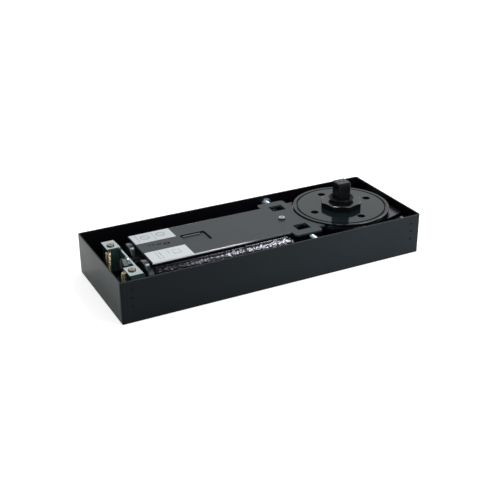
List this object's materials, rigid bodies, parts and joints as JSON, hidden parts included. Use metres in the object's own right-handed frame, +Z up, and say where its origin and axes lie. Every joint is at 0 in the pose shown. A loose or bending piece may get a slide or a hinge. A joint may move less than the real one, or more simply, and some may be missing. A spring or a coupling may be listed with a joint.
{
  "type": "floor spring door closer",
  "caption": "Floor spring door closer: open sheet steel box holding a cast closer body with twin tubes, a round screwed chamber cap and a square spindle for a swing door's arm.",
  "frame": {"origin": "middle of the underside of the cement case", "axes": "+X along the case towards the spindle end, +Y across the case, +Z up along the spindle axis"},
  "size_m": [0.354, 0.13, 0.0748],
  "materials": {
    "case_paint": "satin",
    "casting_paint": "rough gloss",
    "plate_paint": "satin",
    "cap_paint": "gloss",
    "blackened_steel": "satin",
    "zinc": "satin",
    "yellow_zinc": "satin",
    "nickel": "satin",
    "bright_steel": "ground",
    "spring_steel": "oiled",
    "bronze": "turned",
    "rubber": "matt",
    "label_film": "satin"
  },
  "bodies": {
    "closer": {"cement_case": "case_paint", "closer_body": "casting_paint", "top_plate": "plate_paint", "plate_screw": "nickel", "front_label": "label_film", "rear_label": "label_film", "chamber_cap": "cap_paint", "cap_seal_ring": "rubber", "gland_nut": "blackened_steel", "oil_seal": "rubber", "dust_seal": "rubber", "upper_bush": "bronze", "bearing_outer_race": "bright_steel", "rod_seals": "rubber", "spring_tube_plug": "cap_paint", "oil_tube_plug": "cap_paint", "plug_seal_rings": "rubber", "levelling_screws": "zinc", "lateral_screws": "zinc", "lateral_lock_nuts": "zinc", "adjuster_bracket": "zinc", "bracket_bolt": "zinc", "bracket_washer": "zinc", "height_bolts": "yellow_zinc", "height_lock_nuts": "yellow_zinc", "cover_post_screws": "nickel", "corner_brackets": "case_paint", "corner_screws": "nickel"},
    "spindle": {"spindle": "blackened_steel", "heart_cam": "bright_steel", "cam_key": "bright_steel", "bearing_inner_race": "bright_steel"},
    "balls": {"ball_cage": "bronze", "bearing_balls": "bright_steel"},
    "carriage": {"carriage_yoke": "bright_steel", "carriage_top_plate": "bright_steel", "carriage_screws": "bright_steel", "roller_pins": "bright_steel", "spring_rod": "bright_steel", "piston_rod": "bright_steel", "rod_nuts": "bright_steel", "spring_seat": "bright_steel", "spring_nut": "bright_steel", "closing_spring": "spring_steel", "piston": "bright_steel", "piston_ring": "rubber", "piston_nut": "bright_steel", "check_valve_ball": "bright_steel", "check_valve_clip": "bright_steel"},
    "closing_roller": {"closing_roller": "bright_steel"},
    "return_roller": {"return_roller": "bright_steel"},
    "closing_valve": {"closing_valve_screw": "yellow_zinc"},
    "latching_valve": {"latching_valve_screw": "yellow_zinc"}
  },
  "joints": [
    {"name": "spindle_swing", "type": "hinge", "parent": "closer", "child": "spindle", "pos_m": [0.1134, 0, 0], "axis": [0, 0, 1], "range_deg": [0, 125]},
    {"name": "carriage_slide", "type": "slide", "parent": "closer", "child": "carriage", "axis": [1, 0, 0], "range_m": [0, 0.011], "deforming": ["closing_spring"]},
    {"name": "ball_roll", "type": "hinge", "parent": "closer", "child": "balls", "pos_m": [0.1134, 0, 0], "axis": [0, 0, 1], "range_deg": [0, 60]},
    {"name": "closing_roller_spin", "type": "hinge", "parent": "carriage", "child": "closing_roller", "pos_m": [0.1364, 0, 0.0247], "axis": [0, 0, 1], "continuous": true},
    {"name": "return_roller_spin", "type": "hinge", "parent": "carriage", "child": "return_roller", "pos_m": [0.07469, 0, 0.0247], "axis": [0, 0, 1], "continuous": true},
    {"name": "closing_valve_turn", "type": "hinge", "parent": "closer", "child": "closing_valve", "pos_m": [0.0421, -0.0245, 0.036], "axis": [0, 0, 1], "range_deg": [0, 540]},
    {"name": "latching_valve_turn", "type": "hinge", "parent": "closer", "child": "latching_valve", "pos_m": [0.0421, 0.0245, 0.036], "axis": [0, 0, 1], "range_deg": [0, 540]}
  ],
  "couplings": [
    {"joint": "carriage_slide", "follows": "spindle_swing", "m_per_rad": 0.005},
    {"joint": "ball_roll", "follows": "spindle_swing", "ratio": 0.3936}
  ]
}
